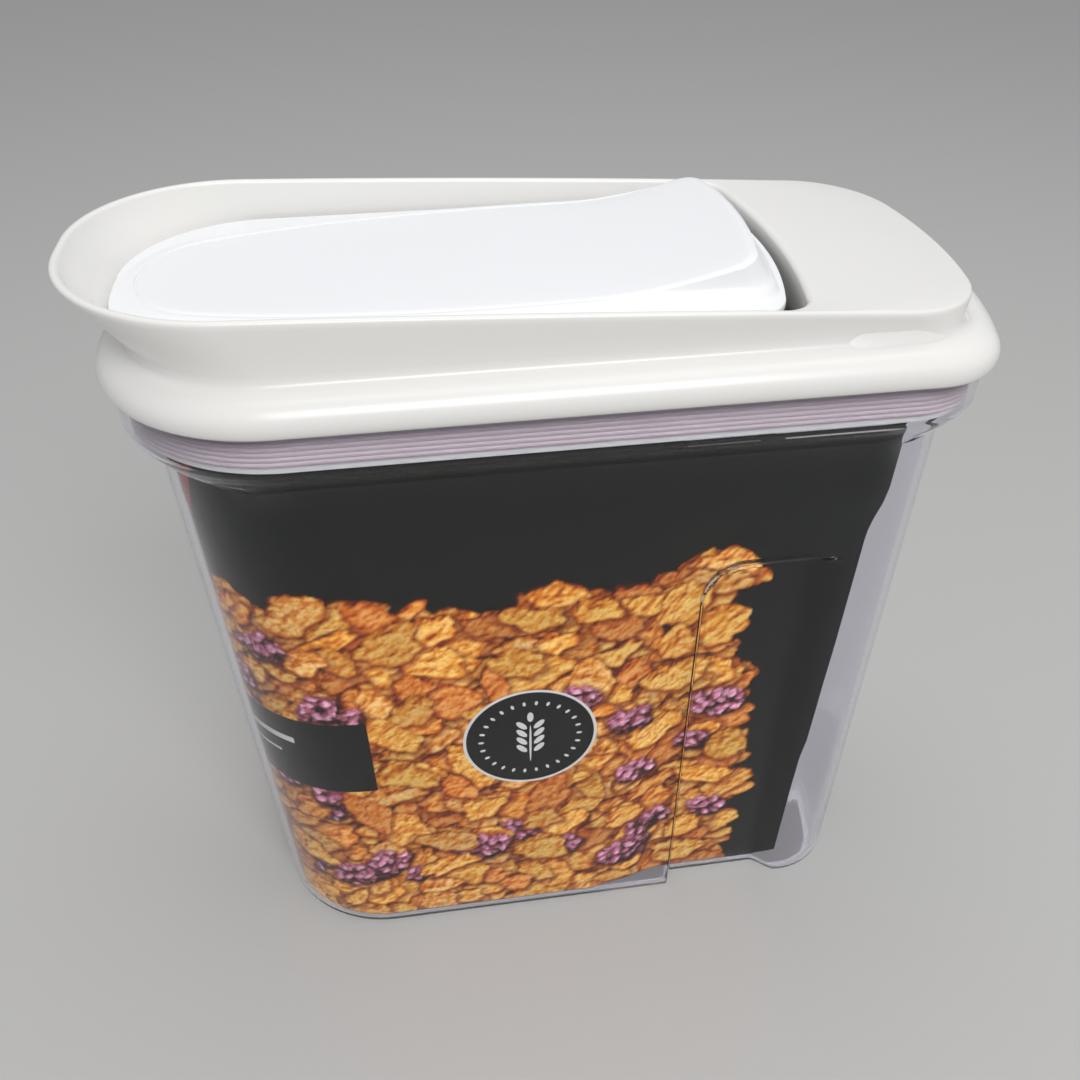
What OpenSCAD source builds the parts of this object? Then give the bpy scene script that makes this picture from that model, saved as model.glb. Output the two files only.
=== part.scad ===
// Cereal keeper with a rocker pour flap: a clear tapered tub, a plug-in lid
// with a flared pouring collar, and a flap that tips on a steel pin.
// X runs from the pouring end (-X) to the handle end (+X), Y across, Z up.
// The origin is on the table, on the long axis, 120 mm behind the front of the skirt.

/* [Container] */
// Front end of the base
base_front = -100.5; // [-103:0.5:-96]
// Rear end of the base at its middle
base_rear = 102.4; // [100.4:0.5:103.4]
// Width of the base
base_w = 86; // [82:0.5:90]
// Front corner radius of the base
base_r = 38; // [34:0.5:40]
// Rear corner radius of the base
base_rear_r = 21.5; // [20:0.5:24]
// Front end of the tub just under its shoulder
neck_front = -110.7; // [-112:0.1:-109]
// Rear end of the tub just under its shoulder
neck_rear = 106.1; // [105.1:0.5:107.1]
// Width of the tub just under its shoulder
neck_w = 91.5; // [91:0.5:94]
// Front corner radius of the tub just under its shoulder
neck_r = 42; // [38:0.5:44]
// Height of the bottom of the shoulder
neck_z = 189.5; // [187:0.5:191]
// Front end of the mouth
mouth_front = -117.5; // [-117.7:0.1:-117.2]
// Rear end of the mouth at its middle
mouth_rear = 113.2; // [113:0.1:113.3]
// Width of the mouth
mouth_w = 101; // [100.6:0.2:101.4]
// Front corner radius of the mouth
mouth_r = 44; // [42:0.5:44]
// Rear corner radius of the mouth and the neck
mouth_rear_r = 24; // [22:0.5:25]
// How strongly the rear ends curve
rear_bow = 0.0046; // [0.0038:0.0002:0.0048]
// Height of the top edge of the mouth
mouth_z = 212; // [211:0.5:212]
// Wall thickness of the tub
wall = 2.2; // [1.8:0.1:2.4]
// Rounding between base and wall
foot_r = 5; // [4:0.5:7]

/* [Side grips] */
// Depth of the grip hollows
grip_depth = 5.5; // [3:0.5:6]
// Where the grip hollows begin
grip_x = 35; // [32:1:40]
// Where the grip hollows start to run out towards the rear
grip_end = 68; // [62:1:70]
// Height of the top of the grip hollows
grip_top = 152; // [140:1:160]
// Rounding of the upper corner of the grip hollows
grip_r = 14; // [8:1:18]
// Width of the sloping edge of the grip hollows
grip_edge = 2.5; // [2:0.5:4]

/* [Insert card] */
// Thickness of the printed card
card_t = 0.5; // [0.3:0.1:0.6]
// Height of the top edge of the card
card_top = 194.5; // [170:0.5:195]
// Where the card ends at its foot; the rear of the tub is left clear
card_rear = 79.3; // [70:0.1:84]

/* [Lid shell] */
// Front end of the lid skirt
skirt_front = -120; // [-121:0.1:-119.8]
// Rear end of the lid skirt at its middle
skirt_rear = 115.8; // [115.6:0.1:116.4]
// Width of the lid skirt
skirt_w = 106; // [105.5:0.5:108]
// Front corner radius of the lid skirt
skirt_r = 45.5; // [44:0.5:47]
// Rear corner radius of the lid skirt
skirt_rear_r = 22.5; // [21.5:0.5:23.5]
// Height of the bottom edge of the skirt
skirt_z = 209.8; // [209.6:0.1:210.2]
// Wall thickness of the lid
lid_wall = 2.2; // [1.8:0.1:2.4]
// Height of the collar rim at the middle of the lid
rim_z = 231.9; // [230:0.1:234]
// How far the rim drops for each millimetre towards the handle
rim_fall = 0.053; // [0.03:0.001:0.07]
// How far the rim arches up in the middle
rim_arch = 1.2; // [0:0.1:1.5]
// Front end of the collar rim
rim_front = -125.4; // [-128:0.1:-124.6]
// Rear end of the deck
rim_rear = 105.8; // [105.3:0.1:106.3]
// Half width of the collar rim
rim_half = 46.3; // [45.5:0.1:47]

/* [Flap well] */
// Rear edge of the flap well at its middle
well_rear = 59.4; // [59.2:0.1:60]
// How strongly the rear edge of the well curves
well_bow = 0.003; // [0.002:0.001:0.004]
// Height of the bottom of the well walls
well_z = 217.2; // [217.2:0.1:217.6]

/* [Flap] */
// Front tip of the flap
flap_front = -114.2; // [-114.3:0.1:-112]
// Rear edge of the flap at its middle
flap_rear = 56.7; // [55:0.1:56.8]
// Half width of the flap
flap_half = 40.4; // [39:0.1:40.6]
// Height of the flap's flat rim
flap_z = 227.3; // [227:0.1:227.5]
// Thickness of the flap's flat rim
flap_t = 2.4; // [2:0.1:2.5]
// Height of the thumb tab
tab_z = 238.6; // [236:0.1:239]
// Half width of the crown where the thumb tab begins
tab_half = 33; // [31:0.5:34]

/* [Hinge] */
// Distance of the hinge pin from the middle of the lid
hinge_x = 33.5; // [33:0.1:34]
// Height of the hinge pin
hinge_z = 219; // [218.6:0.1:219]
// Radius of the hinge pin
pin_r = 1.5; // [1.2:0.1:1.8]
// Radial play of the flap ears on the pin
pin_play = 0.05; // [0.02:0.01:0.1]
// Radius of the hinge ears and ribs
ear_r = 3.4; // [3:0.1:3.5]

/* [Plug and seals] */
// Front end of the plug
plug_front = -112.5; // [-112.6:0.1:-112.4]
// Rear end of the plug at its middle
plug_rear = 108.2; // [107.8:0.1:108.4]
// Width of the plug
plug_w = 91; // [90:0.5:91]
// Front corner radius of the plug
plug_r = 39; // [38.5:0.5:40]
// Rear corner radius of the plug
plug_rear_r = 19.5; // [19.5:0.5:21]
// Length of the pour opening
pour_l = 106; // [96:1:108]
// Width of the pour opening
pour_w = 60; // [50:1:62]
// Middle of the pour opening
pour_x = -51; // [-52:0.5:-50]
// Number of sealing fins on the rim gasket
fins = 7; // [4:1:7]

/* [Hidden] */

arc_n = 12;
end_n = 4;
tub_side = [-40, 0, 22, 33.5, 34.5, 35.5, 36.5, 38, 41, 45, 50, 58, 67, 70, 72.5, 75, 77];
lid_side = [0.12, 0.28, 0.44, 0.6, 0.76, 0.9];
gap = 0.05;

card_gap = 0.5;
floor_t = 2.2;
seal_reach = 0.3;
fin_t = 0.7;
plug_z = 197.6;
retainer_t = 2.2;
gasket_z = plug_z + retainer_t + gap;
gasket_h = 10.4;
pocket_r = 25.8;
pocket_front = 29;
pocket_half = 40.8;
pocket_wall = 1.3;
ear_y = 24;
ear_w = 3.5;
rib_y = 20;
rib_w = 3;
pin_l = 2 * (ear_y + ear_w) + 3;
flap_bow = 0.0045;
tab_bow = 0.004;
liner_z = flap_z - flap_t - gap;
liner_t = 2;
$fn = 96;

// ---- plan outlines ------------------------------------------------------

// How far from the long axis, in degrees, a rear corner's arc runs into the bowed end
function bow_turn(hw, rr, bow, n = 5) =
    n == 0 ? 0 : atan(2 * bow * (hw - rr + rr * sin(bow_turn(hw, rr, bow, n - 1))));

// One half of a plan outline, from the front tip along -Y to the rear tip.
// side holds the places of the points on the straight flank: millimetres
// along X, or, when as_share is true, shares of the flank's length.
function half_outline(x0, x1, hw, rf, rr, side, as_share, bow) =
    let (turn = bow_turn(hw, rr, bow), yj = hw - rr + rr * sin(turn),
         xc = x1 - rr * cos(turn) - bow * yj * yj, xs = x0 + rf)
    concat(
        [[x0, 0]],
        [for (i = [0:arc_n]) let (a = 180 + 90 * i / arc_n)
            [xs + rf * cos(a), rf - hw + rf * sin(a)]],
        [for (s = side) [as_share ? xs + (xc - xs) * s : s, -hw]],
        [for (i = [0:arc_n]) let (a = 270 + (90 - turn) * i / arc_n)
            [xc + rr * cos(a), rr - hw + rr * sin(a)]],
        [for (i = [1:end_n]) let (y = yj * (i / end_n - 1)) [x1 - bow * y * y, y]]);

function mirrored(h) = concat(h, [for (i = [len(h) - 2:-1:1]) [h[i][0], -h[i][1]]]);

function lid_outline(x0, x1, hw, rf, rr, bow = 0) =
    mirrored(half_outline(x0, x1, hw, rf, rr, lid_side, true, bow));

function at_height(loop, z) = [for (p = loop) [p[0], p[1], z]];

function mix(a, b, t) = a + (b - a) * t;
function clamp(t) = max(0, min(1, t));
function smooth(t) = let (c = clamp(t)) c * c * (3 - 2 * c);

// ---- skins --------------------------------------------------------------

// Closes a stack of equal loops into a solid. A ring joins its last loop to
// its first; otherwise both ends are capped, with one flat face each or, when
// strips is true, with strips across from -Y to +Y that follow a curved top.
module skin(loops, ring = false, strips = false) {
    n = len(loops[0]);
    m = len(loops);
    last = ring ? m - 1 : m - 2;
    sides = [for (k = [0:last]) for (i = [0:n - 1])
        let (a = k * n + i, b = k * n + (i + 1) % n,
             c = ((k + 1) % m) * n + i, d = ((k + 1) % m) * n + (i + 1) % n)
        each [[a, d, b], [a, c, d]]];
    caps = ring ? [] : strips ? concat(strip_cap(n, 0, false), strip_cap(n, (m - 1) * n, true))
        : [[for (i = [0:n - 1]) i], [for (i = [n:-1:1]) (m - 1) * n + i % n]];
    polyhedron(points = [for (l = loops) each l], faces = concat(sides, caps), convexity = 8);
}

function turned(face, flip) = flip ? [for (i = [len(face) - 1:-1:0]) face[i]] : face;

// Faces across a mirrored loop of n points that starts at index s
function strip_cap(n, s, flip) =
    [for (i = [0:n / 2 - 1]) let (a = s + i, b = s + i + 1, c = s + n - i - 1, d = s + (n - i) % n)
        each (i == 0 ? [turned([a, b, c], flip)]
            : b == c ? [turned([a, b, d], flip)]
            : [turned([a, b, c], flip), turned([a, c, d], flip)])];

// The plug's plan, grown outwards
module seal_plan(grow) {
    polygon(lid_outline(plug_front - grow, plug_rear + grow, plug_w / 2 + grow, plug_r + grow,
        plug_rear_r + grow, rear_bow));
}

// An upright ring around the plug's plan, t thick
module seal_ring(grow, t, h) {
    linear_extrude(h) difference() {
        seal_plan(grow);
        seal_plan(grow - t);
    }
}

// A profile drawn in X and Z, given a width along Y
module slab_xz(points, y0, y1) {
    translate([0, y1, 0]) rotate([90, 0, 0]) linear_extrude(y1 - y0) polygon(points);
}

// ---- tub ----------------------------------------------------------------

// Distance into the grip hollow seen from the side: negative inside it
function grip_d(x, z) =
    let (dx = grip_x + grip_r - x, dz = z - grip_top + grip_r)
    (dx > 0 && dz > 0 ? norm([dx, dz]) : max(dx, dz)) - grip_r;

function tub_share(z) = clamp(z / neck_z);
function tub_half(z) = mix(base_w, neck_w, tub_share(z)) / 2;

// Tub outline at height z, moved inwards by inset and hollowed by grip
function tub_loop(z, inset, z_at, spread = 0) =
    let (t = tub_share(z), hw = tub_half(z) - inset)
    [for (p = mirrored(half_outline(mix(base_front, neck_front, t) + inset,
            mix(base_rear, neck_rear, t) - inset, hw, mix(base_r, neck_r, t) - inset,
            mix(base_rear_r, mouth_rear_r, t) - inset, tub_side, false, rear_bow)))
        let (d = grip_d(p[0], z),
             g = spread > 0 ? 1 - smooth(d / spread)
                 : clamp(-d / grip_edge) * (1 - smooth((p[0] - grip_end) / 9)),
             lim = hw - grip_depth * g)
        [p[0], max(-lim, min(lim, p[1])), z_at]];

function mouth_loop(inset, z) =
    at_height(mirrored(half_outline(mouth_front + inset, mouth_rear - inset, mouth_w / 2 - inset,
        mouth_r - inset, mouth_rear_r - inset, tub_side, false, rear_bow)), z);

tub_levels = [60, 118, grip_top - 16, grip_top - 12, grip_top - 9, grip_top - 6.5,
    grip_top - 4.5, grip_top - 3, grip_top - 2, grip_top - 1, grip_top, 170, neck_z];

module container_body() {
    color([0.86, 0.86, 0.9, 0.35])
    skin(concat(
        [for (i = [0:4]) let (a = 22.5 * i)
            tub_loop(foot_r * (1 - cos(a)), foot_r * (1 - sin(a)), foot_r * (1 - cos(a)))],
        [for (z = tub_levels) tub_loop(z, 0, z)],
        [mouth_loop(0.9, neck_z + 7.4), mouth_loop(0, neck_z + 9), mouth_loop(0, mouth_z - 0.6),
         mouth_loop(0.6, mouth_z), mouth_loop(wall - 0.6, mouth_z),
         mouth_loop(wall, mouth_z - 0.6), mouth_loop(wall, neck_z + 7.8),
         tub_loop(neck_z - 0.6, wall, neck_z - 0.6)],
        [for (i = [len(tub_levels) - 2:-1:0]) tub_loop(tub_levels[i], wall, tub_levels[i])],
        [tub_loop(floor_t + 1.5, wall, floor_t + 1.5),
         tub_loop(floor_t + 0.5, wall + 0.5, floor_t + 0.5),
         tub_loop(floor_t, wall + 1.5, floor_t)]));
}

card_levels = [4.4, 60, 118, grip_top - 9, grip_top, grip_top + 8, grip_top + 16, card_top];

module insert_card() {
    outer = wall + card_gap;
    color([0.07, 0.08, 0.07])
    difference() {
        skin(concat(
            [for (z = card_levels) tub_loop(z, outer, z, 26)],
            [for (i = [len(card_levels) - 1:-1:0])
                tub_loop(card_levels[i], outer + card_t, card_levels[i], 26)]), ring = true);
        translate([card_rear, -60, 0]) rotate([0, 2, 0]) translate([0, 0, -5]) cube([60, 120, 250]);
    }
}

// ---- lid shell ----------------------------------------------------------

function rim_plane(x) =
    let (span = (rim_rear - rim_front) / 2, u = (x - rim_front) / span - 1)
    rim_z - rim_fall * x + rim_arch * (1 - u * u);
function on_rim(loop, drop) = [for (p = loop) [p[0], p[1], rim_plane(p[0]) - drop]];

// Skirt outline moved inwards by separate amounts in front, at the sides and behind
function skirt_loop(front, side, rear, z) =
    at_height(lid_outline(skirt_front + front, skirt_rear - rear, skirt_w / 2 - side,
        skirt_r - side, skirt_rear_r - side, rear_bow), z);

function rim_loop(inset, drop) =
    on_rim(lid_outline(rim_front + inset, rim_rear - inset, rim_half - inset,
        42 - inset, 25 - inset, 0.8 * rear_bow), drop);

// Well outline, widening from its bottom edge (0) to the rim (1)
function well_outline(t, out = 0) =
    lid_outline(mix(-109, rim_front + lid_wall, t) - out, well_rear + out,
        mix(41.7, rim_half - lid_wall - 0.1, t) + out, mix(36, 40, t) + out, 9 + out, well_bow);

// How far under the deck a point of the inner skin lies
function deck_share_y(p) = p[0] < 30 ? 0 : 1 - smooth((abs(p[1]) - 34) / 7);
function deck_share_x(p) = smooth((p[0] - well_rear + 1) / 12);

module lid_shell() {
    bulge = 6.6;
    crest = skirt_z + 2.8;
    top_in = 8.6;
    under = lid_wall;
    color([0.95, 0.95, 0.94])
    skin(concat(
        [skirt_loop(1.3, 1.3, 1.3, skirt_z), skirt_loop(0.4, 0.4, 0.4, skirt_z + 0.9)],
        [for (a = [0, 16, 32, 48, 62, 74]) let (k = 1 - cos(a))
            skirt_loop(k * top_in, k * top_in, k * (top_in + 2), crest + bulge * sin(a))],
        [skirt_loop(7.6, 7.4, 10.4, crest + bulge + 0.4),
         skirt_loop(7.9, 8.2, 11.4, crest + bulge + 1.6)],
        [rim_loop(0.1, 0.9), rim_loop(0.5, 0.2), rim_loop(1, 0)],
        [on_rim(well_outline(1, -0.5), 0), on_rim(well_outline(1), 0.5),
         at_height(well_outline(0.46), flap_z - 0.6), at_height(well_outline(0), well_z)],
        [at_height(well_outline(0, 1.8), well_z)],
        [[for (p = well_outline(0, 2.1))
            [p[0], p[1], mix(well_z + 0.2, rim_plane(p[0]) - under, deck_share_y(p))]]],
        [[for (p = lid_outline(-113.6, 101.4, 45.2, 38, 21, 0.8 * rear_bow))
            let (s = deck_share_x(p))
            [p[0], p[1] * (1 - 0.05 * s), mix(217, rim_plane(p[0]) - under, s)]]],
        [skirt_loop(5.2, 5.2, 5.8, crest + 3.4), skirt_loop(2.1, 2.1, 2.6, crest + 0.2),
         skirt_loop(2, 2, 2, skirt_z)]), ring = true);
}

// ---- plug ---------------------------------------------------------------

function arc_xz(r, a0, a1, n) =
    [for (i = [0:n]) let (a = mix(a0, a1, i / n))
        [hinge_x + r * cos(a), hinge_z + r * sin(a)]];

// A rounded slot around the pour opening, grown outwards
module pour_plan(grow) {
    hull() for (sx = [-1, 1]) for (sy = [-1, 1])
        translate([pour_x + sx * (pour_l / 2 - 29), sy * (pour_w / 2 - 29)]) circle(29 + grow);
}

module pin_bore(r, y0, y1) {
    translate([hinge_x, y0, hinge_z]) rotate([-90, 0, 0]) cylinder(h = y1 - y0, r = r);
}

// An upright plate around the pin, reaching to a foot given as X, Z points
module pin_plate(foot, y0, y1, r) {
    slab_xz(foot, y0, y1);
    pin_bore(r, y0, y1);
}

module lid_plug() {
    deck_t = 2.2;
    deck_z = well_z - gap - deck_t;
    lip_z = liner_z - liner_t - 1.2;
    inner = concat([[pocket_front, hinge_z + 1]], [[pocket_front, hinge_z - pocket_r + 1]],
        arc_xz(pocket_r, -98, 0, 24), [[hinge_x + pocket_r, hinge_z + 1]]);
    outer = concat([[pocket_front - 2, deck_z + deck_t]],
        [[pocket_front - 2, hinge_z - pocket_r - 1]],
        arc_xz(pocket_r + 1.8, -98, asin((deck_z + deck_t - hinge_z) / (pocket_r + 1.8)), 24));
    color([0.93, 0.93, 0.92])
    difference() {
        union() {
            difference() {
                union() {
                    translate([0, 0, plug_z]) seal_ring(0, 2, deck_z - plug_z + 0.4);
                    translate([0, 0, deck_z - 1.4]) linear_extrude(1.8) seal_plan(0);
                    translate([0, 0, deck_z]) linear_extrude(deck_t)
                        polygon(lid_outline(plug_front + 2.5, plug_rear - 5, plug_w / 2 - 2.2,
                            plug_r - 2.2, plug_rear_r - 2.2, rear_bow));
                    translate([0, 0, mouth_z + 0.3]) seal_ring(3.7, 5, 1.5);
                    translate([0, 0, deck_z - 6]) linear_extrude(lip_z - deck_z + 6) pour_plan(1.8);
                    slab_xz(outer, -pocket_half - pocket_wall, pocket_half + pocket_wall);
                }
                slab_xz(inner, -pocket_half, pocket_half);
                translate([0, 0, deck_z - 7]) linear_extrude(20) pour_plan(0);
            }
            for (s = [-1, 1]) let (y = s > 0 ? rib_y : -rib_y - rib_w)
                pin_plate([[pocket_front - 1, hinge_z - 14], [hinge_x, hinge_z - 9],
                    [hinge_x + ear_r, hinge_z], [hinge_x - ear_r, hinge_z],
                    [pocket_front - 1, hinge_z - 1]], y, y + rib_w, ear_r);
        }
        pin_bore(pin_r, -40, 40);
    }
}

module rim_gasket() {
    reach = plug_front - mouth_front - wall - seal_reach;
    color([0.72, 0.66, 0.76])
    translate([0, 0, gasket_z]) {
        seal_ring(1.3, 1.3 - gap, gasket_h);
        for (i = [0:fins - 1]) translate([0, 0, 0.6 + i * (gasket_h - 1.9) / (fins - 1)])
            seal_ring(reach, reach - 0.6, fin_t);
    }
}

module gasket_retainer() {
    color([0.96, 0.96, 0.95])
    translate([0, 0, plug_z]) seal_ring(1.5, 1.5 - gap, retainer_t);
}

module hinge_pin() {
    color([0.75, 0.76, 0.78]) pin_bore(pin_r, -pin_l / 2, pin_l / 2);
}

// ---- flap ---------------------------------------------------------------

function flap_plan(inset) =
    mirrored(half_outline(flap_front + inset, flap_rear - inset, flap_half - inset,
        36 - inset, 12 - inset, lid_side, true, flap_bow));

// Height of the low crown, and of the crown with the tab rising out of it
function crown_base(x) = 228.4 + 1.8 * clamp((x + 109) / 117);
function crown_top(x) = crown_base(x) + (tab_z - 230.2) * pow(clamp((x - 4) / 43.2), 1.9);

// Half width of the crown at shares of its length, as X, Y pairs from the tip
crown_front = [[-109.7, 3], [-109, 6], [-107.8, 10], [-106, 14], [-103.8, 17.2], [-101, 20],
    [-97, 22.6], [-92, 24.5], [-85.5, 26.4], [-78, 28], [-69, 29.7], [-60, 31], [-50, 32]];
crown_side = [-38, -26, -12, 3, 17, 29];

// Crown outline moved inwards by inset, with its rear end at rear
function crown_plan(inset, rear, r) =
    mirrored(concat([[inset - 110, 0]],
        [for (p = crown_front) [p[0] + inset * 0.8, min(0, inset - p[1])]],
        [for (x = crown_side) [x, inset - tab_half - clamp((x + 50) / 20) + clamp((x - 3) / 26)]],
        [for (i = [0:arc_n]) let (a = 270 + 80 * i / arc_n, y = r + inset - tab_half)
            [rear - tab_bow * y * y - r + r * cos(a), y + r * sin(a)]],
        [for (i = [1:end_n]) let (y = (r + inset - tab_half) * (1 - i / end_n))
            [rear - tab_bow * y * y, y]]));

function on_crown(loop, t, drop) =
    [for (p = loop) [p[0], p[1], mix(crown_base(p[0]), crown_top(p[0]), t) - drop]];

module flap_cover() {
    low = flap_z - flap_t;
    color([0.97, 0.97, 0.98])
    skin(concat(
        [on_crown(crown_plan(4.2, 43.4, 4), 1, 2.2), on_crown(crown_plan(2.6, 48.6, 5), 0, 2.2)],
        [at_height(crown_plan(2.2, 49.2, 6), low)],
        [at_height(flap_plan(0), low), at_height(flap_plan(0), flap_z - 0.6),
         at_height(flap_plan(0.6), flap_z)],
        [at_height(crown_plan(-3.4, 54.4, 11), flap_z), on_crown(crown_plan(-1.4, 53.6, 9), 0, 1),
         on_crown(crown_plan(0.2, 52.2, 8), 0, 0), on_crown(crown_plan(1.4, 47.4, 6), 1, 1),
         on_crown(crown_plan(1.9, 46.8, 5.5), 1, 0.3), on_crown(crown_plan(3, 45.8, 5), 1, 0)]),
        strips = true);
}

module flap_liner() {
    wall_z = well_z + 2.4;
    low = liner_z - liner_t;
    color([0.92, 0.92, 0.91])
    difference() {
        union() {
            translate([0, 0, low]) linear_extrude(liner_t) polygon(flap_plan(4));
            translate([0, 0, wall_z]) linear_extrude(low - wall_z + 0.1) difference() {
                pour_plan(4.4);
                pour_plan(2.8);
            }
            for (s = [-1, 1]) let (y = s > 0 ? ear_y : -ear_y - ear_w)
                pin_plate([[hinge_x - ear_r, hinge_z], [hinge_x + ear_r, hinge_z],
                    [hinge_x + ear_r + 3, low + 0.5], [hinge_x - ear_r - 6, low + 0.5]],
                    y, y + ear_w, ear_r);
        }
        pin_bore(pin_r + pin_play, -40, 40);
    }
}

module flap_gasket() {
    low = liner_z - liner_t;
    color([0.78, 0.78, 0.8])
    translate([0, 0, low - gap - 1]) linear_extrude(1) difference() {
        pour_plan(2.6);
        pour_plan(-1.2);
    }
}

container_body();
insert_card();
lid_shell();
lid_plug();
rim_gasket();
gasket_retainer();
hinge_pin();
flap_cover();
flap_liner();
flap_gasket();
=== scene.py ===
import math
import random

import bmesh
import bpy
import numpy as np
from mathutils import Matrix, Vector


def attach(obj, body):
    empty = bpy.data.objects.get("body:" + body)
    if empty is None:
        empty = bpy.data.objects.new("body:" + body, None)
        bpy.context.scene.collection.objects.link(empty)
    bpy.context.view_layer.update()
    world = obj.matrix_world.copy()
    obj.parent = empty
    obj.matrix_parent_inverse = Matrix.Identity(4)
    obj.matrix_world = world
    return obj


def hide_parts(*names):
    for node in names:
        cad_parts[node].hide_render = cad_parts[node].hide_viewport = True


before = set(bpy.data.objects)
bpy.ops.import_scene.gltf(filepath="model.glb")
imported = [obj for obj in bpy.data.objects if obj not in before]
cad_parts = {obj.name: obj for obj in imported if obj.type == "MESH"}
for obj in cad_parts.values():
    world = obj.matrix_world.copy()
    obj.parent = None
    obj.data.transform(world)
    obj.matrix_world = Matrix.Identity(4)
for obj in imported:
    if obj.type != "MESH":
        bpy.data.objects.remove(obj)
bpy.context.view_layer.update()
print("frame loaded")

mm = 0.001


def clearSelection():
    if bpy.context.object and bpy.context.object.mode == "EDIT":
        bpy.ops.object.mode_set(mode="OBJECT")
    bpy.ops.object.select_all(action="DESELECT")


def mix(a, b, t):
    return a + (b - a) * t


def clamp(t, low=0.0, high=1.0):
    return max(low, min(high, t))


def smooth(t):
    t = clamp(t)
    return t * t * (3 - 2 * t)


# azimuth and elevation of the line of sight are in degrees, the rest in millimetres
cameraView = {
    "azimuth": -8.54, "elevation": 37.7, "distance": 342.7,
    "target": (-4.84, 0, 133.4), "focal": 35.94,
}


def addCamera():
    az, el = math.radians(cameraView["azimuth"]), math.radians(cameraView["elevation"])
    back = Vector((math.sin(az) * math.cos(el), -math.cos(az) * math.cos(el), math.sin(el)))
    right = Vector((0, 0, 1)).cross(back).normalized()
    up = back.cross(right)
    data = bpy.data.cameras.new("mainCamera")
    data.lens = cameraView["focal"]
    data.sensor_width = 36
    data.clip_start = 0.01
    camera = bpy.data.objects.new("mainCamera", data)
    bpy.context.scene.collection.objects.link(camera)
    turn = Matrix((right, up, back)).transposed().to_4x4()
    place = (Vector(cameraView["target"]) + back * cameraView["distance"]) * mm
    camera.matrix_world = Matrix.Translation(place) @ turn
    bpy.context.scene.camera = camera


addCamera()
print("camera placed")


# materials: colours are sRGB hex, turned to linear by one function


def hexColour(text, alpha=1.0):
    parts = [int(text[i:i + 2], 16) / 255 for i in (0, 2, 4)]
    linear = [c / 12.92 if c <= 0.04045 else ((c + 0.055) / 1.055) ** 2.4 for c in parts]
    return (*linear, alpha)


def addNode(tree, kind, settings=None, links=None):
    node = tree.nodes.new(kind)
    for key, value in (settings or {}).items():
        if key in node.inputs:
            node.inputs[key].default_value = value
        else:
            setattr(node, key, value)
    for key, source in (links or {}).items():
        tree.links.new(source, node.inputs[key])
    return node


def perMetre(size):
    # how often a pattern of this size, in millimetres, repeats in a metre of Object coordinates
    return 1 / (size * mm)


def newMaterial(name, settings):
    material = bpy.data.materials.new(name)
    material.use_nodes = True
    tree = material.node_tree
    shader = tree.nodes["Principled BSDF"]
    for key, value in settings.items():
        shader.inputs[key].default_value = value
    return material, tree, shader


def objectPoint(tree):
    return addNode(tree, "ShaderNodeTexCoord").outputs["Object"]


def mouldedWhite(name, colour, roughness, grain, bump):
    # Injection-moulded ABS: an even white with a faint flow mottle, about 36 mm across, and a soft,
    # slightly uneven gloss
    material, tree, shader = newMaterial(name, {
        "Base Color": hexColour(colour), "Roughness": roughness, "IOR": 1.53,
        "Subsurface Weight": 0.06, "Subsurface Radius": (0.004, 0.004, 0.0035),
        "Subsurface Scale": 0.6})
    point = objectPoint(tree)
    flow = addNode(tree, "ShaderNodeTexNoise", {"Scale": perMetre(35.7), "Detail": 2}, {"Vector": point})
    tint = addNode(tree, "ShaderNodeMix", {"data_type": "RGBA"}, {"Factor": flow.outputs["Fac"]})
    base = hexColour(colour)
    tint.inputs["A"].default_value = (base[0] * 0.985, base[1] * 0.98, base[2] * 0.97, 1)
    tint.inputs["B"].default_value = base
    tree.links.new(tint.outputs["Result"], shader.inputs["Base Color"])
    # polishing marks are a few hundredths of a millimetre wide, drawn about 1 mm wide so that they show
    fine = addNode(tree, "ShaderNodeTexNoise", {"Scale": perMetre(grain), "Detail": 3},
                   {"Vector": point})
    gloss = addNode(tree, "ShaderNodeMapRange", {"To Min": roughness - 0.04, "To Max": roughness + 0.05},
                    {"Value": fine.outputs["Fac"]})
    tree.links.new(gloss.outputs["Result"], shader.inputs["Roughness"])
    relief = addNode(tree, "ShaderNodeBump", {"Strength": bump, "Distance": 0.0002},
                     {"Height": fine.outputs["Fac"]})
    tree.links.new(relief.outputs["Normal"], shader.inputs["Normal"])
    return material


glossAbs = mouldedWhite("glossAbs", "ECEBE8", 0.24, 1.111, 0.02)
satinAbs = mouldedWhite("satinAbs", "F4F5F7", 0.36, 0.909, 0.0)
innerAbs = mouldedWhite("innerAbs", "E0E0DC", 0.34, 0.769, 0.12)


def clearSan():
    # Polished styrene-acrylonitrile: water-clear with a cool violet cast where it is thick
    material, tree, shader = newMaterial("clearSan", {
        "Base Color": hexColour("F3F2F8"), "Roughness": 0.03, "IOR": 1.3,
        "Transmission Weight": 1.0})
    # finger haze: patches about 60 mm across that dull the polish a little
    point = objectPoint(tree)
    haze = addNode(tree, "ShaderNodeTexNoise", {"Scale": perMetre(62.5), "Detail": 5, "Roughness": 0.6},
                   {"Vector": point})
    gloss = addNode(tree, "ShaderNodeMapRange", {"From Min": 0.4, "From Max": 0.75,
                    "To Min": 0.015, "To Max": 0.07}, {"Value": haze.outputs["Fac"]})
    tree.links.new(gloss.outputs["Result"], shader.inputs["Roughness"])
    return material


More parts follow.
